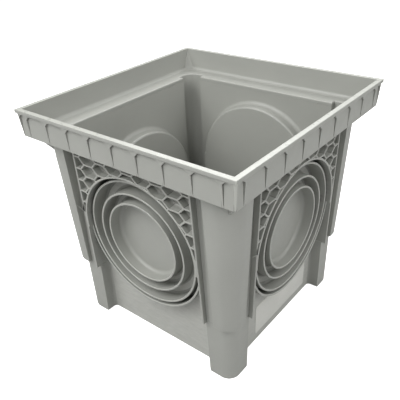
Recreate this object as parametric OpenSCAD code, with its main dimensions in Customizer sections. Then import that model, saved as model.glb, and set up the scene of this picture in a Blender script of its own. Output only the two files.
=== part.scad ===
// Drain inspection chamber, 300 x 300 mm nominal.
// One square moulding, open at the top, with a grate seat inside its rim and
// four walls that each carry a set of round collars for drain pipes.
// Origin: centre of the base, on its underside. +Z up. Millimetres.

/* [Chamber] */
// Overall height
height = 300; // [270:5:360]
// Wall thickness
wall = 3; // [2.6:0.1:3.2]
// Thickness of the sunk panel behind the collars
panel_t = 2.7; // [2.2:0.1:3.2]
// Thickness of the closed floor
floor_t = 3.5; // [2.5:0.5:6]
// Half the clear width between the inner wall faces, just under the ledge
cavity_half = 124.6; // [123:0.1:125.5]
// Slope of the inner wall faces, millimetres in per millimetre down
cavity_draft = 0.01; // [0.005:0.001:0.015]

/* [Rim] */
// Outer width of the rim at its top
rim_w = 315; // [308:1:330]
// Height of the rim from its lower edge to the top
rim_h = 33.8; // [30:0.1:38]
// Width of the flat top of the rim
rim_top = 6.3; // [4.5:0.1:7]
// How far each rim face leans in, top to bottom
rim_flare = 2.8; // [1.5:0.1:3.5]
// Height of the plain lip along the top edge
lip_h = 4; // [2:0.5:6]
// How far the lip stands proud of the rim face
lip_step = 1; // [0.5:0.1:1.5]
// Number of flush ribs on each rim face
rim_ribs = 9; // [5:2:13]
// Width of one flush rib
rim_rib_w = 2; // [1.2:0.1:4]
// Length of the cut-off upper corners of a pocket
pocket_cut = 5; // [3:0.5:8]
// Width of the plain strip between the last pocket and the corner of the rim
rim_corner_w = 1.6; // [1:0.1:3]
// Corner radius of the rim
rim_r = 1; // [0.5:0.5:5]
// Thickness of the web under each rim corner
web_t = 2.4; // [1.6:0.1:3.2]
// How far each web reaches out under the rim
web_reach = 20; // [12:1:26]
// Height of each web on the post
web_h = 20; // [12:1:26]

/* [Grate seat] */
// Depth of the grate seat below the top
seat_depth = 30.1; // [26:0.1:32]
// Thickness of the ledge that the grate lies on
ledge_t = 3.4; // [2.4:0.1:4]
// How far the inner rim faces lean in from the top to the seat
seat_draft = 2.8; // [1:0.1:4]
// Width of the small facet in each inner rim corner, at the ledge
corner_facet = 10.5; // [6:0.5:14]
// How far each facet leans back over its height
facet_lean = 4; // [2:0.5:6]
// Half the width across the four corner bays, at the ledge
bay_half = 132.8; // [130:0.1:134]
// Corner radius of those bays
bay_r = 17; // [12:0.5:22]

/* [Corner posts] */
// Half the width across the post faces, at the base plane
post_half = 126.4; // [125.8:0.1:127]
// Slope of the post faces, millimetres out per millimetre up
post_draft = 0.0519; // [0.048:0.0001:0.054]
// Radius of the post corners where the posts meet the rim
post_r = 27.5; // [25:0.5:29]
// Half the width of a wall between the posts, at the base plane
post_gap_half = 106.1; // [105.5:0.1:107]
// How much the gap between the posts narrows, millimetres per millimetre up
post_gap_draft = 0.0121; // [0.008:0.0001:0.016]
// Height at which the posts step back to the legs
step_z = 84; // [70:1:92]
// Height of the sloping foot of each post, above that step
step_h = 1.2; // [0.8:0.1:4]
// How far the foot of each post slopes in
step_in = 2.2; // [1:0.1:2.6]
// Half the width across the leg faces at the base
leg_half = 124; // [123.6:0.1:124.8]
// Slope of the leg faces, millimetres out per millimetre up
leg_draft = 0.018; // [0.012:0.001:0.024]
// Corner radius of the legs at the base
leg_r = 15; // [12:0.5:17]
// Half the width of the lower panel between two legs, at the base
leg_gap_half = 91.5; // [90.5:0.1:94]

/* [Wall frame] */
// Half the width across the frame ribs, at the base plane
frame_half = 128.1; // [127.6:0.1:128.6]
// Slope of the frame rib edges, millimetres out per millimetre up
frame_draft = 0.0398; // [0.037:0.0001:0.042]
// Half the clear width between the two frame ribs, at the base plane
frame_gap_half = 90.85; // [90.6:0.05:91.1]
// How much the gap between the frame ribs narrows, millimetres per millimetre up
frame_gap_draft = 0.0196; // [0.0186:0.0001:0.0206]
// Thickness of a frame rib
frame_rib_t = 2.4; // [1.8:0.1:3]

/* [Pipe collars] */
// Bore radius of the 100 mm pipe socket
bore_100 = 50.4; // [49:0.1:52]
// Bore radius of the 125 mm collar
bore_125 = 63.4; // [62:0.1:65]
// Bore radius of the 160 mm collar
bore_160 = 79.6; // [78.5:0.1:81]
// Bore radius of the outermost collar
bore_outer = 86.2; // [85.8:0.1:86.4]
// Wall thickness of each collar
collar_t = 2.4; // [1.8:0.1:2.6]
// Height of the collar centres on the three inlet walls
inlet_z = 156.5; // [150:0.5:160]
// How far the collar centre of the outlet wall lies below the others
outlet_drop = 26; // [0:1:30]
// Depth of the socket floors below the collar rims, at the inlet centre
socket_depth = 18.2; // [14:0.1:20]
// How far the three inner collars stand back from the frame ribs
collar_setback = 5.5; // [4:0.1:7]
// Slope of the sunk panels, millimetres out per millimetre up
floor_draft = 0.016; // [0.01:0.001:0.022]
// How far the flat floor of the 100 mm socket stands proud of the sunk panel
dish_step = 0.3; // [0.2:0.1:1]
// How far below its centre the widest collar steps back from the frame ribs
collar_drop = 6; // [2:0.5:12]

/* [Honeycomb] */
// Spacing of the honeycomb columns
comb_pitch_u = 21.3; // [18:0.1:26]
// Spacing of the cells in one column
comb_pitch_z = 15.75; // [12:0.05:20]
// Length of the flat rib between two cells of a column
comb_flat = 14.2; // [11:0.1:16]
// Thickness of the honeycomb ribs
comb_rib_t = 2.2; // [1.6:0.1:3]
// Distance of the uppermost full flat rib below the top of the chamber
comb_drop = 48.8; // [44:0.1:54]
// Height of the honeycomb's lower end above the centre of the collars
comb_low = 25; // [15:1:40]

/* [Label] */
// Width of the blank paper label
label_w = 124.5; // [80:0.5:150]
// How far the middle of the label lies from the middle of its wall
label_u = 12.2; // [0:0.1:14]
// Height of the blank paper label
label_h = 45; // [30:0.5:48]
// Height of the label's lower edge above the base
label_z = 11.3; // [8:0.1:14]
// Thickness of the label
label_t = 0.4; // [0.2:0.1:0.6]

/* [Hidden] */
$fn = 96;
eps = 0.01;
far = 400;
round_fn = 64;

sides = [0, 90, 180, 270];
outlet_side = 270;

rim_half = rim_w / 2;
rim_z = height - rim_h;
seat_z = height - seat_depth;
ledge_z = seat_z - ledge_t;
rim_face_top = rim_half - lip_step;
rim_face_low = rim_face_top - rim_flare;
rim_pitch = rim_w / rim_ribs;
last_rib = (rim_ribs - 1) / 2 * rim_pitch + rim_rib_w / 2;
end_pocket_w = rim_face_low - rim_corner_w - last_rib;
comb_top = height - comb_drop;

// Edge of the corner bays.
bay_u = post_gap_half - post_gap_draft * step_z + wall * 0.6;

// Planes of one wall: distance from the chamber's axis at height z.
function cavity_p(z) = cavity_half - cavity_draft * (ledge_z - z);
function wall_p(z) = cavity_p(z) + wall;
function post_p(z) = post_half + post_draft * z;
function leg_p(z) = leg_half + leg_draft * z;
function frame_p(z) = frame_half + frame_draft * z;
function collar_p(z) = frame_p(z) - collar_setback;
function socket_p(z) = collar_p(inlet_z) - socket_depth + floor_draft * (z - inlet_z);
function socket_in_p(z) = socket_p(z) - panel_t;
function dish_p(z) = socket_p(z + bore_100) + dish_step;

// Side lines of one wall: distance from its middle at height z.
function post_u(z) = post_gap_half - post_gap_draft * z;
function frame_u(z) = frame_gap_half - frame_gap_draft * z;

function collar_z(side) = side == outlet_side ? inlet_z - outlet_drop : inlet_z;

// ---- helpers: every wall is drawn as the one that faces -Y ----------------

// Everything between the planes at distance a0..a1 (at z0) and b0..b1 (at z1).
module layer(z0, a0, a1, z1, b0, b1) {
    rotate([90, 0, 90])
        linear_extrude(2 * far, center = true)
            polygon([[-a0, z0], [-a1, z0], [-b1, z1], [-b0, z1]]);
}

// An outline in wall coordinates (u, z) pushed out through the wall.
module through(d = far) {
    rotate([90, 0, 0]) linear_extrude(d) children();
}

module trapezoid(z0, h0, z1, h1) {
    polygon([[-h0, z0], [h0, z0], [h1, z1], [-h1, z1]]);
}

// Square block with sloping sides: half width h0 at z0 and h1 at z1.
module taper_block(z0, h0, z1, h1) {
    intersection() {
        rotate([90, 0, 0])
            linear_extrude(2 * far, center = true) trapezoid(z0, h0, z1, h1);
        rotate([90, 0, 90])
            linear_extrude(2 * far, center = true) trapezoid(z0, h0, z1, h1);
    }
}

// The same block with round corners: r0 at z0, and the corner axes upright.
module round_taper_block(z0, h0, z1, h1, r0) {
    c = h0 - r0;
    intersection() {
        taper_block(z0, h0, z1, h1);
        union() {
            for (a = [0, 90])
                rotate([0, 0, a])
                    translate([-far, -c, z0]) cube([2 * far, 2 * c, z1 - z0]);
            for (x = [-c, c], y = [-c, c])
                translate([x, y, z0])
                    cylinder(h = z1 - z0, r1 = h0 - c, r2 = h1 - c, $fn = round_fn);
        }
    }
}

module disc(r, z) {
    translate([0, z]) circle(r, $fn = 128);
}

// ---- rim -------------------------------------------------------------------

// One pocket between two rim ribs, with its upper corners cut off.
module rim_pocket(w, z0, z1) {
    c = min(pocket_cut, w / 3);
    polygon([[-w / 2, z0], [w / 2, z0], [w / 2, z1 - c],
             [w / 2 - c, z1], [-w / 2 + c, z1], [-w / 2, z1 - c]]);
}

module rim() {
    face_z = height - lip_h;
    pocket_z = face_z - 1.5;
    difference() {
        union() {
            round_taper_block(rim_z, rim_face_low, face_z, rim_face_top, rim_r);
            round_taper_block(face_z, rim_half, height, rim_half, rim_r);
        }
        for (a = sides) rotate([0, 0, a])
            intersection() {
                layer(rim_z - 1, rim_face_low, far, face_z, rim_face_low, far);
                through() {
                    for (i = [0 : rim_ribs - 2])
                        translate([(i - (rim_ribs - 2) / 2) * rim_pitch, 0])
                            rim_pocket(rim_pitch - rim_rib_w, rim_z - 1, pocket_z);
                    for (i = [-1, 1])
                        translate([i * (last_rib + end_pocket_w / 2), 0])
                            rim_pocket(end_pocket_w, rim_z - 1, pocket_z);
                }
            }
    }
}

// One upright web under each corner of the rim, on the corner of the post.
module rim_webs() {
    d = (post_p(rim_z) - post_r) * sqrt(2) + post_r;
    slope = web_h / web_reach;
    for (a = sides) rotate([0, 0, a + 45])
        rotate([90, 0, 0]) linear_extrude(web_t, center = true)
            polygon([[d - wall, rim_z - web_h - wall * slope],
                     [d + web_reach, rim_z],
                     [d + web_reach, rim_z + 1],
                     [d - wall, rim_z + 1]]);
}

// Space inside the rim, down to the ledge, with a facet in each corner.
module rim_opening() {
    top_half = rim_half - rim_top;
    low_half = top_half - seat_draft;
    diag = low_half * sqrt(2);
    difference() {
        taper_block(seat_z, low_half, height + 1, top_half + 0.1);
        for (a = sides) rotate([0, 0, a + 45])
            rotate([90, 0, 0]) linear_extrude(2 * corner_facet, center = true)
                polygon([[diag - corner_facet / sqrt(2), seat_z - 1],
                         [diag + corner_facet, seat_z - 1],
                         [diag + corner_facet, height - 1],
                         [diag + facet_lean, height - 1]]);
    }
}

// ---- outside of the body -----------------------------------------------------

module corner_posts() {
    foot_z = step_z + step_h;
    foot_r = post_r - (post_p(rim_z) - post_p(foot_z));
    round_taper_block(foot_z, post_p(foot_z), rim_z + 1, post_p(rim_z + 1), foot_r);
    round_taper_block(step_z, post_p(foot_z) - step_in, foot_z, post_p(foot_z),
                      foot_r - step_in);
}

module legs() {
    round_taper_block(0, leg_p(0), step_z + 1, leg_p(step_z + 1), leg_r);
}

// Room between two posts, down to the plain wall and, below the step, none.
module wall_valley() {
    intersection() {
        layer(step_z - 2, wall_p(step_z), far, rim_z, wall_p(rim_z), far);
        through() trapezoid(step_z - 2, post_u(step_z), rim_z, post_u(rim_z));
    }
}

// Outline of the sunk panel: round over the collars, straight below them.
module sunk_outline(z, r, grow = 0) {
    disc(r, z);
    trapezoid(step_z - eps, frame_u(step_z) + grow, z, frame_u(z) + grow);
    trapezoid(-1, leg_gap_half + grow, step_z, frame_u(step_z) + grow);
}

// Room in front of the sunk panel.
module sunk_room(z) {
    intersection() {
        layer(-1, socket_p(-1), far, rim_z, socket_p(rim_z), far);
        through() sunk_outline(z, bore_outer + collar_t / 2);
    }
}

// ---- collars and frame -----------------------------------------------------

module ring(r, z) {
    difference() {
        disc(r + collar_t, z);
        disc(r, z);
    }
}

// One collar: it stands on the sunk panel and ends in the plane p0..p1.
module collar(r, z, p0, p1) {
    top = rim_z + 1;
    intersection() {
        layer(0, socket_p(0) - 1, p0, top, socket_p(top) - 1, p1);
        through() ring(r, z);
    }
}

module pipe_collars(z) {
    top = rim_z + 1;
    // the flat floor of the smallest one
    intersection() {
        layer(0, socket_p(0) - 1, dish_p(z), top, socket_p(top) - 1, dish_p(z));
        through() disc(bore_100 + collar_t / 2, z);
    }
    for (r = [bore_100, bore_125, bore_160, bore_outer])
        collar(r, z, collar_p(0), collar_p(top));
    // the widest one reaches the frame plane over its upper half
    intersection() {
        collar(bore_outer, z, frame_p(0), frame_p(top));
        translate([-far, -far, z - collar_drop]) cube([2 * far, far, far]);
    }
}

module comb_cell() {
    s = comb_rib_t / 2;
    tip = comb_pitch_u - comb_flat / 2 - 1.2 * s;
    flat = comb_flat / 2 - 0.5 * s;
    h = comb_pitch_z / 2 - s;
    polygon([[-tip, 0], [-flat, h], [flat, h], [tip, 0], [flat, -h], [-flat, -h]]);
}

// Honeycomb ribs over the two upper corners of a wall.
module comb_outline(z) {
    low = z + comb_low;
    difference() {
        trapezoid(low, frame_u(low) + 1, rim_z + 1, frame_u(rim_z) + 1);
        disc(bore_outer + collar_t / 2, z);
        for (i = [-4 : 4], j = [-1 : 5])
            translate([i * comb_pitch_u,
                       comb_top - (j + 0.5 + (abs(i) % 2) / 2) * comb_pitch_z])
                comb_cell();
    }
}

// The two upright ribs that frame the collars.
module frame_ribs() {
    top = rim_z + 1;
    intersection() {
        layer(0, socket_p(0) - 1, frame_p(0), top, socket_p(top) - 1, frame_p(top));
        through() difference() {
            trapezoid(step_z - 2, frame_u(step_z) + frame_rib_t,
                      top, frame_u(top) + frame_rib_t);
            trapezoid(step_z - 3, frame_u(step_z), top + 1, frame_u(top));
        }
    }
}

// Honeycomb over the two upper corners of a wall, on the plain wall.
module honeycomb(z) {
    top = rim_z + 1;
    intersection() {
        layer(0, wall_p(0) - 1, frame_p(0), top, wall_p(top) - 1, frame_p(top));
        through() comb_outline(z);
    }
}

// ---- inside of the body --------------------------------------------------------

// Corner bay: it opens the ledge, and runs down inside the post.
module corner_bays() {
    low = step_z + step_h + wall;
    for (a = sides) rotate([0, 0, a]) intersection() {
        translate([bay_u, bay_u, 0]) cube(height);
        round_taper_block(low, post_p(low) - wall, seat_z, bay_half,
                          post_p(low) - wall - (bay_half - bay_r));
    }
}

// The back of the sunk panel, which stands into the chamber.
module panel_back(z) {
    intersection() {
        layer(0, socket_in_p(0), far, rim_z, socket_in_p(rim_z), far);
        through() sunk_outline(z, bore_outer + collar_t + 0.8, frame_rib_t);
    }
}

module cavity() {
    difference() {
        union() {
            round_taper_block(floor_t, cavity_p(floor_t), ledge_z, cavity_p(ledge_z), leg_r - 2);
            corner_bays();
        }
        for (a = sides) rotate([0, 0, a]) panel_back(collar_z(a));
    }
    taper_block(ledge_z - 1, cavity_half, seat_z + 1, cavity_half);
    rim_opening();
}

// ---- the pieces ----------------------------------------------------------------

// The moulding without its honeycomb.
module plain_body() {
    difference() {
        union() {
            rim();
            rim_webs();
            difference() {
                union() {
                    corner_posts();
                    legs();
                }
                for (a = sides) rotate([0, 0, a]) {
                    wall_valley();
                    sunk_room(collar_z(a));
                }
            }
            for (a = sides) rotate([0, 0, a]) {
                frame_ribs();
                pipe_collars(collar_z(a));
            }
        }
        cavity();
    }
}

module chamber_body() {
    color([0.65, 0.65, 0.62]) {
        plain_body();
        for (a = sides) rotate([0, 0, a]) honeycomb(collar_z(a));
    }
}

// Blank paper strip on the lower panel of the +X wall.
module label() {
    color([0.78, 0.78, 0.75]) rotate([0, 0, 90])
        intersection() {
            layer(0, socket_p(0), socket_p(0) + label_t,
                  height, socket_p(height), socket_p(height) + label_t);
            through()
                translate([label_u - label_w / 2, label_z]) square([label_w, label_h]);
        }
}

chamber_body();
label();
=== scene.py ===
import math
import bpy
import bmesh
import numpy as np
from mathutils import Matrix, Vector, geometry


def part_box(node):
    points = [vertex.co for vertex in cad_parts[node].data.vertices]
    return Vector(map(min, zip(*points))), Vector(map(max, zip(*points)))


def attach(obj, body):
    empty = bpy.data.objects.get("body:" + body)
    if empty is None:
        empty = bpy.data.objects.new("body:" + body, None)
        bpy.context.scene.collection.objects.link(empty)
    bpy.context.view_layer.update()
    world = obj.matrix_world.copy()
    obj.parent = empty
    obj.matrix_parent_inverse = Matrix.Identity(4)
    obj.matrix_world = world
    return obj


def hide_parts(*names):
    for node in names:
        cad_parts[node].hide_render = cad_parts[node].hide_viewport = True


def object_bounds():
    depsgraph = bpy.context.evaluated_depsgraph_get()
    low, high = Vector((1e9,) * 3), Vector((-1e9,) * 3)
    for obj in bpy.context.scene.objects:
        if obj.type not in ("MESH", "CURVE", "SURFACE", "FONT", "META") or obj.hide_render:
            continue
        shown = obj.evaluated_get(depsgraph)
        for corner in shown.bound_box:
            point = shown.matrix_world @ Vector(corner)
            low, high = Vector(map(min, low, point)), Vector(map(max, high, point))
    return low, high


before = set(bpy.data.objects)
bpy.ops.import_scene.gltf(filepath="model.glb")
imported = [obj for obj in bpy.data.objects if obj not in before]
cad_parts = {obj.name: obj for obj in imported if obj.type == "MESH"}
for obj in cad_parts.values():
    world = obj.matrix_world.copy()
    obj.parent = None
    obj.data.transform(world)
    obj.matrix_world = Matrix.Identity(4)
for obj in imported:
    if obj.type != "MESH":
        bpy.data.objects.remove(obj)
cad_box = [list(map(float, corner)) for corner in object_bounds()]

# ---------------------------------------------------------------- moulded body
# The chamber is one injection moulding in light grey polypropylene: a square box
# with a rim, a grate seat and round pipe collars on its four walls. The mould
# leaves a small radius on every edge and a larger one where walls meet floors.
top_z = cad_box[1][2]
seat_z = top_z - 0.0301
step_z = 0.084
inlet_z, outlet_z = 0.1565, 0.1305
collar_rims = (0.0504, 0.0634, 0.0796, 0.0862)
floor_p, floor_slope = 0.11063, 0.016
crest_rise = 0.006
rim_drop = 0.034
# How far out from the axis the parts of a wall lie, lowest and highest.
bulge_out, bulge_foot_out, cell_out = (0.100, 0.1095), (0.1225, 0.1256), (0.120, 0.131)
dish_out, leg_out, slot_out, crest_out = 0.1125, 0.112, 0.1175, 0.140
seat_lip_out, seat_corner_out, rim_out, rim_corner_side = 0.136, 0.140, 0.150, 0.1535
# How far aside from the wall's middle they reach, and how far round the collars' axis.
leg_side_from, crest_half, comb_half, frame_half, foot_side = 0.088, 0.0905, 0.0925, 0.0935, 0.0985
bulge_half, bulge_r, comb_r = 0.098, 0.0894, 0.0885
same_plane, crease = math.radians(0.3), math.radians(25.5)

rounding = bmesh.new()
rounding.from_mesh(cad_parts["chamber_body"].data)
bmesh.ops.remove_doubles(rounding, verts=rounding.verts, dist=2e-6)
# Flat neighbours are joined, the smallest first, into faces that never touch themselves.
for smaller_than in (1e-7, 1e-6, 1e-5, 5e-5, 2e-4, 1e-3, 1.0):
    for seam in sorted(rounding.edges, key=lambda e: -e.calc_length()):
        if not seam.is_valid or len(seam.link_faces) != 2 or seam.calc_face_angle(1) > same_plane:
            continue
        one, other = seam.link_faces
        shared = sum(other in e.link_faces for e in one.edges)
        touching = sum(v in other.verts for v in one.verts)
        if touching == shared + 1 and min(one.calc_area(), other.calc_area()) < smaller_than:
            bmesh.utils.face_join([one, other], True).normal_update()
straight = [v for v in rounding.verts
            if len(v.link_edges) == 2 and abs(v.calc_edge_angle(0)) < same_plane]
bmesh.ops.dissolve_verts(rounding, verts=straight)
# Painted highlight with a smoother finish where this mark is above nought, painted shade where it
# is below.
painted_highlight_shade = rounding.faces.layers.float.new("painted_highlight_shade")
# Faces painted paler as light, with stronger flow streaks.
paled_streaked = rounding.faces.layers.float.new("paled_streaked")
# Honeycomb faces that get painted light where they look up.
celled = rounding.faces.layers.float.new("celled")
# Painted shade at the foot of the slot between the two outer collars.
slot_shade = rounding.verts.layers.float.new("slot_shade")


def on_wall(point):
    """How far out and aside a point lies on its wall, and how high the collars sit there."""
    if abs(point.y) > abs(point.x):
        return abs(point.y), abs(point.x), inlet_z
    return abs(point.x), abs(point.y), inlet_z if point.x > 0 else outlet_z


def place(edge):
    """An edge's height, how far out and aside it lies, and its distance from the collars' axis."""
    middle = (edge.verts[0].co + edge.verts[1].co) / 2
    out, side, centre = on_wall(middle)
    return middle.z, out, side, math.hypot(side, middle.z - centre)


def hollow(edge):
    return edge.calc_face_angle_signed(0) < 0


def off_panel(z, out):
    """How far a point lies from the plane of the sunk panel."""
    return abs(out - floor_p - floor_slope * (z - inlet_z))


def on_sunk_panel(edge):
    z, out, _, _ = place(edge)
    return hollow(edge) and off_panel(z, out) < 0.0012


def dish_edge(edge):
    _, out, _, r = place(edge)
    return hollow(edge) and out < dish_out and abs(r - collar_rims[0]) < 0.0006


def wide_gap(edge):
    r = place(edge)[3]
    return on_sunk_panel(edge) and collar_rims[0] + 0.001 < r < collar_rims[2] + 0.0005


def leg_side(edge):
    z, out, side, _ = place(edge)
    return on_sunk_panel(edge) and z < step_z + 0.001 and side > leg_side_from and out < leg_out


def bulge(edge):
    z, out, side, r = place(edge)
    return (not hollow(edge) and bulge_out[0] < out < bulge_out[1] and z > 0.05
            and side < bulge_half and abs(r - bulge_r) < 0.004)


def bulge_foot(edge):
    z, out, _, r = place(edge)
    return (hollow(edge) and bulge_foot_out[0] < out < bulge_foot_out[1]
            and 0.0875 < r < 0.0925 and z > outlet_z)


def seat_corner(edge):
    z, out, _, _ = place(edge)
    return hollow(edge) and abs(z - seat_z) < 2e-4 and out > seat_corner_out


def seat_lip(edge):
    z, out, _, _ = place(edge)
    return not hollow(edge) and abs(z - seat_z) < 2e-4 and out < seat_lip_out


def cell_floor(edge):
    """The floor of the honeycomb cell that an edge lies at the foot of, or None."""
    z, out, side, r = place(edge)
    in_comb = z >= inlet_z and r >= comb_r and side <= comb_half and cell_out[0] < out < cell_out[1]
    return min(edge.link_faces, key=lambda f: abs(f.normal.z)) if hollow(edge) and in_comb else None


def cell_room(floor):
    """How far the middle of a cell's floor lies from its nearest side."""
    middle = floor.calc_center_median()
    return min((geometry.intersect_point_line(middle, *(v.co for v in e.verts))[0] - middle).length
               for e in floor.edges)


def thin_edge(edge):
    z, out, side, _ = place(edge)
    return (not hollow(edge) and z <= top_z - rim_drop and side <= frame_half
            and out > floor_p + crest_rise)


def any_edge(edge):
    return True


def outward(face):
    """More than nothing where a face looks away from the chamber's axis."""
    middle = face.calc_center_median()
    return face.normal.x * middle.x + face.normal.y * middle.y


def crest_highlight(face):
    """Strength of a crest's painted highlight and smoother finish: full on collars and frames, less
    on the honeycomb and other edges.
    """
    middle = face.calc_center_median()
    out, side, _ = on_wall(middle)
    if not floor_p + crest_rise < out < crest_out or side > frame_half:
        return 0.45
    above = middle.z > inlet_z and math.hypot(side, middle.z - inlet_z) > comb_r + 0.001
    return 0.12 if above and side < crest_half else 1.0


# Every edge gets a radius, the largest first: which edges, the radius, its facets,
# and how much painted shade goes into that corner, from 0 to 1.
roundings = [(bulge_foot, 0.006, 5, 0.0), (dish_edge, 0.0048, 5, 0.0),
             (leg_side, 0.0045, 4, 0.0), (bulge, 0.0026, 4, 0.0), (wide_gap, 0.0034, 4, 0.45),
             (seat_corner, 0.0055, 5, 0.0), (seat_lip, 0.0016, 4, 0.0)]
for low, high in ((0.0060, 1.0), (0.0040, 0.0060), (0.0026, 0.0040), (0.0014, 0.0026)):
    def in_cell(edge, low=low, high=high):
        floor = cell_floor(edge)
        return floor is not None and low <= cell_room(floor) < high
    roundings.append((in_cell, min(0.0042, 0.7 * low), 4, 0.15))
roundings += [(thin_edge, 0.00062, 4, 0.0), (any_edge, 0.0004, 2, 0.7)]
widest_crest = 0.001
for chosen, radius, steps, shade_share in roundings:
    edges = [e for e in rounding.edges
             if e.is_manifold and abs(e.calc_face_angle_signed(0)) > crease and chosen(e)]
    made = bmesh.ops.bevel(rounding, geom=edges, offset=radius, offset_type="OFFSET",
                           segments=steps, profile=0.5, affect="EDGES", clamp_overlap=False,
                           harden_normals=False, material=-1)["faces"]
    # Hollow faces get painted shade; thin crests get a painted highlight and a smoother finish.
    for face in made:
        turn = sum(e.calc_face_angle_signed(0) * e.calc_length()
                   for e in face.edges if e.is_manifold)
        if turn < 0 and shade_share and outward(face) > 0:
            middle = face.calc_center_median()
            out, side, _ = on_wall(middle)
            at_foot = abs(middle.z - step_z) < 0.0012 and side > foot_side
            face[painted_highlight_shade] = -1.0 if at_foot or out > rim_out else -shade_share
        elif turn >= 0 and radius < widest_crest:
            face[painted_highlight_shade] = crest_highlight(face)

# The crests of the collars and ribs get a painted highlight and are as smooth as the radii
# beside them, and so is the rim. The low bare panels and the dish floors are painted paler as light
# and streaked more; the honeycomb is marked for painted light.
crest_width, no_border = 0.0015, 1e-6
for face in rounding.faces:
    around = [n[painted_highlight_shade] for e in face.edges for n in e.link_faces if n is not face]
    border = max(sum(e.calc_length() for e in face.edges), no_border)
    narrow = 2 * face.calc_area() / border < crest_width
    if face[painted_highlight_shade] == 0 and around and min(around) > 0 and narrow:
        face[painted_highlight_shade] = crest_highlight(face)
    middle = face.calc_center_median()
    out, side, centre = on_wall(middle)
    # The rim's top and its outer corners get the full painted highlight and a smoother finish.
    rim_top = face.normal.z > 0.99 and middle.z > top_z - 1e-4
    if rim_top or side > rim_corner_side and abs(face.normal.z) < 0.5:
        face[painted_highlight_shade] = 1.0
    in_dish = math.hypot(side, middle.z - inlet_z) < collar_rims[0] + 0.02
    # The low sunk panels and the dish floors are painted paler, as light, and streaked more.
    if off_panel(middle.z, out) < 0.0008 and (middle.z < step_z + 0.002 or in_dish):
        face[paled_streaked] = 1.0
    # Honeycomb faces are marked for painted light on what looks up.
    beyond = math.hypot(side, middle.z - centre) > 0.0925
    if (beyond and middle.z > 0.2 and side < comb_half and 0.110 < out < 0.129
            and outward(face) > -0.006):
        face[celled] = 1.0

# The slot between the two outer collars gets painted shade at its foot, and nothing stands
# past the chamber's own height.
for v in rounding.verts:
    out, side, centre = on_wall(v.co)
    r = math.hypot(side, v.co.z - centre)
    if collar_rims[2] < r < collar_rims[3] and out < slot_out:
        v[slot_shade] = 1.0
    v.co.z = min(max(v.co.z, cad_box[0][2]), top_z)

# A wide face that folds when it is split in threes gets the split with the least area.
smallest_fold, fold_cost, length_cost = 2e-8, 4, 1e-6
folded = {}
for corners in rounding.calc_loop_triangles():
    a, b, c = (corner.vert.co for corner in corners)
    if (b - a).cross(c - a).dot(corners[0].face.normal) < -smallest_fold:
        folded[corners[0].face] = True
for face in folded:
    ring = [corner.vert for corner in face.loops]
    across = face.normal.orthogonal().normalized()
    along = face.normal.cross(across)
    spots = np.array([(v.co.dot(across), v.co.dot(along)) for v in ring])
    count = len(ring)
    least, split = np.zeros((count, count)), np.zeros((count, count), int)
    for gap in range(2, count):
        start = np.arange(count - gap)[:, None]
        middle, end = start + np.arange(1, gap)[None, :], start + gap
        to_middle, to_end = spots[middle] - spots[start], spots[end] - spots[start]
        area = to_middle[..., 0] * to_end[..., 1] - to_middle[..., 1] * to_end[..., 0]
        cost = (least[start, middle] + least[middle, end]
                + np.where(area < 0, -fold_cost * area, area)
                + length_cost * np.hypot(to_end[..., 0], to_end[..., 1]))
        best = cost.argmin(axis=1)
        split[start[:, 0], end[:, 0]] = start[:, 0] + 1 + best
        least[start[:, 0], end[:, 0]] = cost[np.arange(count - gap), best]
    spans = [(0, count - 1)]
    while spans:
        i, j = spans.pop()
        if j - i > 1:
            k = int(split[i, j])
            rounding.faces.new((ring[i], ring[k], ring[j]), face).normal_update()
            spans += [(i, k), (k, j)]
bmesh.ops.delete(rounding, geom=list(folded), context="FACES_ONLY")
body_mesh = bpy.data.meshes.new("moulded_body")
rounding.to_mesh(body_mesh)
rounding.free()
for f in body_mesh.polygons:
    f.use_smooth = True
moulded_body = bpy.data.objects.new("moulded_body", body_mesh)
bpy.context.scene.collection.objects.link(moulded_body)



def new_group(name, inputs, outputs):
    """An empty node group for an effect that more than one finish uses."""
    group = bpy.data.node_groups.new(name, "ShaderNodeTree")
    for socket, kind, value in inputs:
        made = group.interface.new_socket(name=socket, in_out="INPUT",
                                          socket_type="NodeSocket" + kind)
        if value is not None:
            made.default_value = value
    for socket, kind in outputs:
        group.interface.new_socket(name=socket, in_out="OUTPUT", socket_type="NodeSocket" + kind)
    return group, group.nodes.new("NodeGroupInput"), group.nodes.new("NodeGroupOutput")


def add(tree, kind, settings=(), **links):
    """A node with its settings, and a value or another node's output for each named input."""
    node = tree.nodes.new("ShaderNode" + kind)
    for name, value in dict(settings).items():
        setattr(node, name, value)
    for name, value in links.items():
        numbered = name[0] == "i" and name[1:].isdigit()
        socket = node.inputs[int(name[1:]) if numbered else name]
        if isinstance(value, bpy.types.NodeSocket):
            tree.links.new(value, socket)
        else:
            socket.default_value = value
    return node


def blend(tree, share, under, over, kind="MIX"):
    """One colour over another, by a share from 0 to 1."""
    return add(tree, "MixRGB", {"blend_type": kind}, Fac=share, Color1=under,
               Color2=over).outputs[0]


def spread(tree, value, low, high, to_low, to_high, kind="LINEAR"):
    """A value between low and high, moved to lie between to_low and to_high."""
    return add(tree, "MapRange", {"interpolation_type": kind}, i0=value, i1=low, i2=high,
               i3=to_low, i4=to_high).outputs[0]


def reckon(tree, operation, first, second, clamp=False):
    """Two values added, multiplied or compared."""
    return add(tree, "Math", {"operation": operation, "use_clamp": clamp}, i0=first,
               i1=second).outputs[0]


def marked(tree, name):
    """The mark that the mesh carries under a name."""
    return add(tree, "Attribute", {"attribute_name": name}).outputs["Fac"]


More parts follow.
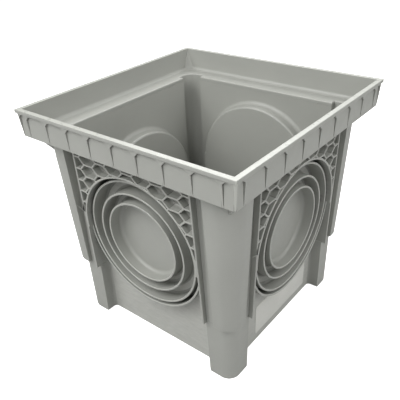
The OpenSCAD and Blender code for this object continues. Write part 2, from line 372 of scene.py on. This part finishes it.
# Spark-eroded grain: close round pits of mixed size.
plastic_grain, paper_grain = 2400.0, 3600.0
grain, entry, leave = new_group("spark_grain", (("Vector", "Vector", None),
                                                ("Scale", "Float", plastic_grain)),
                                (("Height", "Float"), ("Mask", "Float")))
pits = add(grain, "TexVoronoi", {"feature": "SMOOTH_F1"}, Vector=entry.outputs["Vector"],
           Scale=entry.outputs["Scale"], Smoothness=0.6)
fine = add(grain, "TexNoise", Vector=entry.outputs["Vector"], Scale=entry.outputs["Scale"],
           Detail=2.0)
both = reckon(grain, "ADD", pits.outputs["Distance"], fine.outputs["Fac"])
grain.links.new(both, leave.inputs["Height"])
patch = add(grain, "TexNoise", Vector=entry.outputs["Vector"], Scale=90.0, Detail=3.0)
grain.links.new(patch.outputs["Fac"], leave.inputs["Mask"])

# Mottling and flow: soft clouds, and streaks that run the way the Stretch says.
flow, entry, leave = new_group("flow_marks", (("Vector", "Vector", None),
                                              ("Stretch", "Vector", (1, 1, 5)),
                                              ("Scale", "Float", 60.0)),
                               (("Streaks", "Float"), ("Clouds", "Float")))
pulled = add(flow, "VectorMath", {"operation": "MULTIPLY"}, i0=entry.outputs["Vector"],
             i1=entry.outputs["Stretch"])
streaks = add(flow, "TexNoise", Vector=pulled.outputs[0], Scale=entry.outputs["Scale"],
              Detail=3.0, Roughness=0.6, Distortion=0.8)
clouds = add(flow, "TexNoise", Vector=entry.outputs["Vector"], Scale=22.0, Detail=3.0)
flow.links.new(streaks.outputs["Fac"], leave.inputs["Streaks"])
flow.links.new(clouds.outputs["Fac"], leave.inputs["Clouds"])

# The plastic: mottled grey, a paler colour painted as light on the low panels with flow streaks,
# painted light on what looks up in the honeycomb, painted shade in the corners and a painted
# highlight on the smoother crests.
grey_dark, grey_light = (0.304, 0.309, 0.285, 1), (0.334, 0.339, 0.313, 1)
# Paler colours painted as light on the low panels and on the honeycomb's upward faces.
pale_light_colour, top_light_colour = (0.490, 0.495, 0.460, 1), (0.520, 0.523, 0.490, 1)
# A dark colour painted as shade, and a pale one painted as a highlight on the crests.
shade_colour, highlight_colour = (0.080, 0.080, 0.070, 1), (0.425, 0.433, 0.398, 1)
plastic = bpy.data.materials.new("grey_polypropylene")
plastic.use_nodes = True
tree = plastic.node_tree
bsdf = tree.nodes["Principled BSDF"]
where = add(tree, "TexCoord").outputs["Object"]
grained = add(tree, "Group", {"node_tree": grain}, Vector=where, Scale=plastic_grain)
flowed = add(tree, "Group", {"node_tree": flow}, Vector=where, Stretch=(1, 1, 4.5), Scale=70.0)
highlight_shade_mark, panels = marked(tree, "painted_highlight_shade"), marked(tree, "paled_streaked")
mottled = blend(tree, flowed.outputs["Clouds"], grey_dark, grey_light)
# Painted light: the low panels and the dish floors are painted paler.
paled = blend(tree, panels, mottled, pale_light_colour)
streaky = blend(tree, spread(tree, panels, 0.0, 1.0, 0.03, 0.34), paled,
                flowed.outputs["Streaks"], "MULTIPLY")
# Painted highlight and smoother finish where the mark is above nought, painted shade where it is
# below.
highlight_share = reckon(tree, "MAXIMUM", highlight_shade_mark, 0.0)
shade_from_edges = reckon(tree, "MULTIPLY", highlight_shade_mark, -1.0)
# Painted shade from the hollow corners and from the collar slot.
shaded = reckon(tree, "MAXIMUM", shade_from_edges, marked(tree, "slot_shade"), clamp=True)
facing = add(tree, "SeparateXYZ", Vector=add(tree, "NewGeometry").outputs["Normal"])
# Painted light on what looks up in the honeycomb.
upward = spread(tree, facing.outputs["Z"], 0.1, 0.7, 0.0, 0.45, "SMOOTHSTEP")
top_lit = reckon(tree, "MULTIPLY", upward, marked(tree, "celled"))
with_shade = blend(tree, shaded, blend(tree, top_lit, streaky, top_light_colour), shade_colour)
tree.links.new(blend(tree, highlight_share, with_shade, highlight_colour), bsdf.inputs["Base Color"])
satin = spread(tree, grained.outputs["Mask"], 0.35, 0.65, 0.40, 0.50)
shine = add(tree, "Math", {"operation": "MULTIPLY_ADD"}, i0=highlight_share, i1=-0.14, i2=satin)
tree.links.new(shine.outputs[0], bsdf.inputs["Roughness"])
pitted = add(tree, "Bump", Strength=0.25, Distance=0.00003, Height=grained.outputs["Height"])
wave_height = reckon(tree, "MULTIPLY", flowed.outputs["Streaks"],
                     spread(tree, panels, 0.0, 1.0, 0.06, 1.7))
wavy = add(tree, "Bump", Strength=0.5, Distance=0.0004, Height=wave_height,
           Normal=pitted.outputs[0])
tree.links.new(wavy.outputs[0], bsdf.inputs["Normal"])
body_mesh.materials.clear()
body_mesh.materials.append(plastic)
weighted = moulded_body.modifiers.new("face_normals", "WEIGHTED_NORMAL")
weighted.keep_sharp = True
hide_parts("chamber_body")
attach(moulded_body, "root")

# ----------------------------------------------------------------------- label
# A blank sticker of coated paper with rounded corners, a third of a millimetre
# thick. It is pressed by hand onto the sloping lower panel of the wall facing +X.
low, high = (Vector(corner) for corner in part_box("label"))
corner_r, corner_steps, worn_edge = 0.003, 6, 0.00008
paper_t = high.x - low.x - floor_slope * (high.z - low.z)
outline = []
for quarter, y, z in ((0, high.y, high.z), (1, low.y, high.z),
                      (2, low.y, low.z), (3, high.y, low.z)):
    centre_y = y - math.copysign(corner_r, y - (low.y + high.y) / 2)
    centre_z = z - math.copysign(corner_r, z - (low.z + high.z) / 2)
    for step in range(corner_steps + 1):
        turn = math.radians(90 * (quarter + step / corner_steps))
        outline.append((centre_y + corner_r * math.cos(turn), centre_z + corner_r * math.sin(turn)))
sticker = bmesh.new()
front = [sticker.verts.new((high.x - floor_slope * (high.z - z), y, z)) for y, z in outline]
back = [sticker.verts.new((high.x - floor_slope * (high.z - z) - paper_t, y, z))
        for y, z in outline]
sticker.faces.new(front)
sticker.faces.new(back)
for i in range(len(outline)):
    sticker.faces.new((front[i - 1], front[i], back[i], back[i - 1]))
bmesh.ops.recalc_face_normals(sticker, faces=sticker.faces)
rounded = [e for e in sticker.edges if all(v in front for v in e.verts)]
bmesh.ops.bevel(sticker, geom=rounded, offset=worn_edge, segments=2, profile=0.5,
                affect="EDGES")
label_mesh = bpy.data.meshes.new("blank_sticker")
sticker.to_mesh(label_mesh)
sticker.free()
blank_sticker = bpy.data.objects.new("blank_sticker", label_mesh)
bpy.context.scene.collection.objects.link(blank_sticker)

paper_dark, paper_light = (0.600, 0.602, 0.560, 1), (0.680, 0.682, 0.640, 1)
paper = bpy.data.materials.new("coated_paper")
paper.use_nodes = True
tree = paper.node_tree
bsdf = tree.nodes["Principled BSDF"]
where = add(tree, "TexCoord").outputs["Object"]
fibres = add(tree, "Group", {"node_tree": grain}, Vector=where, Scale=paper_grain)
uneven = add(tree, "Group", {"node_tree": flow}, Vector=where, Stretch=(1, 1, 2), Scale=160.0)
cloudy = blend(tree, uneven.outputs["Clouds"], paper_dark, paper_light)
flecked = blend(tree, 0.12, cloudy, uneven.outputs["Streaks"], "MULTIPLY")
tree.links.new(flecked, bsdf.inputs["Base Color"])
matt = spread(tree, fibres.outputs["Mask"], 0.35, 0.65, 0.48, 0.60)
tree.links.new(matt, bsdf.inputs["Roughness"])
creased = add(tree, "Bump", Strength=0.4, Distance=0.0002, Height=uneven.outputs["Streaks"])
fibrous = add(tree, "Bump", Strength=0.3, Distance=0.00002, Height=fibres.outputs["Height"],
              Normal=creased.outputs[0])
tree.links.new(fibrous.outputs[0], bsdf.inputs["Normal"])
label_mesh.materials.append(paper)
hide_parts("label")
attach(blank_sticker, "root")

# ------------------------------------------------------------- floor and light
# A seamless white table under a white sky, and five square softboxes that stand
# round it: the strongest at the left and at the back, the weakest at the right.
floor_reach, floor_bounce, floor_seen, floor_glow = 6.0, 0.45, 0.8, 0.85
floor_mesh = bpy.data.meshes.new("studio_floor")
floor_mesh.from_pydata([(-floor_reach, -floor_reach, 0), (floor_reach, -floor_reach, 0),
                        (floor_reach, floor_reach, 0), (-floor_reach, floor_reach, 0)],
                       [], [(0, 1, 2, 3)])
studio_floor = bpy.data.objects.new("studio_floor", floor_mesh)
bpy.context.scene.collection.objects.link(studio_floor)
floor_white = bpy.data.materials.new("studio_white")
floor_white.use_nodes = True
tree = floor_white.node_tree
bsdf = tree.nodes["Principled BSDF"]
bsdf.inputs["Roughness"].default_value = 0.9
seen = add(tree, "LightPath").outputs["Is Camera Ray"]
white = blend(tree, seen, (floor_bounce, floor_bounce, floor_bounce, 1),
              (floor_seen, floor_seen, floor_seen, 1))
tree.links.new(white, bsdf.inputs["Base Color"])
bsdf.inputs["Emission Color"].default_value = (1, 1, 1, 1)
tree.links.new(reckon(tree, "MULTIPLY", seen, floor_glow), bsdf.inputs["Emission Strength"])
floor_mesh.materials.append(floor_white)

world = bpy.data.worlds.new("studio")
world.use_nodes = True
tree = world.node_tree
seen = add(tree, "LightPath").outputs["Is Camera Ray"]
sky = blend(tree, seen, (0, 0, 0, 1), (1, 1, 1, 1))
tree.links.new(sky, tree.nodes["Background"].inputs["Color"])
bpy.context.scene.world = world
bpy.context.scene.view_settings.view_transform = "Standard"

softbox_away, softbox_width, aim_z = 2.2, 1.58, 0.15
for name, turn, rise, power in (("softbox_right", 0, 30, 23.54),
                                ("softbox_right_back", 40, 48, 17.12),
                                ("softbox_back", 120, 48, 34.24),
                                ("softbox_left", 240, 48, 41.73),
                                ("softbox_front", 278, 40, 22.47)):
    turn, rise = math.radians(turn), math.radians(rise)
    away = Vector((math.cos(rise) * math.cos(turn), math.cos(rise) * math.sin(turn),
                   math.sin(rise)))
    panel = bpy.data.lights.new(name, "AREA")
    panel.shape = "SQUARE"
    panel.size = softbox_width
    panel.energy = power
    softbox = bpy.data.objects.new(name, panel)
    bpy.context.scene.collection.objects.link(softbox)
    softbox.location = away * softbox_away + Vector((0, 0, aim_z))
    softbox.rotation_euler = (-away).to_track_quat("-Z", "Y").to_euler()

# ----------------------------------------------------------------------- camera
# A person stands at the corner between the -Y and +X walls and looks down into the
# open chamber from arm's length, so that the rim, both walls and the inside show.
stand = (0.3762, -0.4659, 0.5068)
azimuth, elevation, roll = math.radians(40.0), math.radians(30.57), math.radians(-3.02)
camera_data = bpy.data.cameras.new("camera")
camera_data.sensor_width = 36
camera_data.lens = 46.84
camera_data.clip_start = 0.01
camera = bpy.data.objects.new("camera", camera_data)
bpy.context.scene.collection.objects.link(camera)
turned = Matrix.Rotation(azimuth, 4, "Z")
tipped = Matrix.Rotation(math.pi / 2 - elevation, 4, "X")
camera.matrix_world = (Matrix.Translation(stand) @ turned @ tipped
                       @ Matrix.Rotation(roll, 4, "Z"))
bpy.context.scene.camera = camera
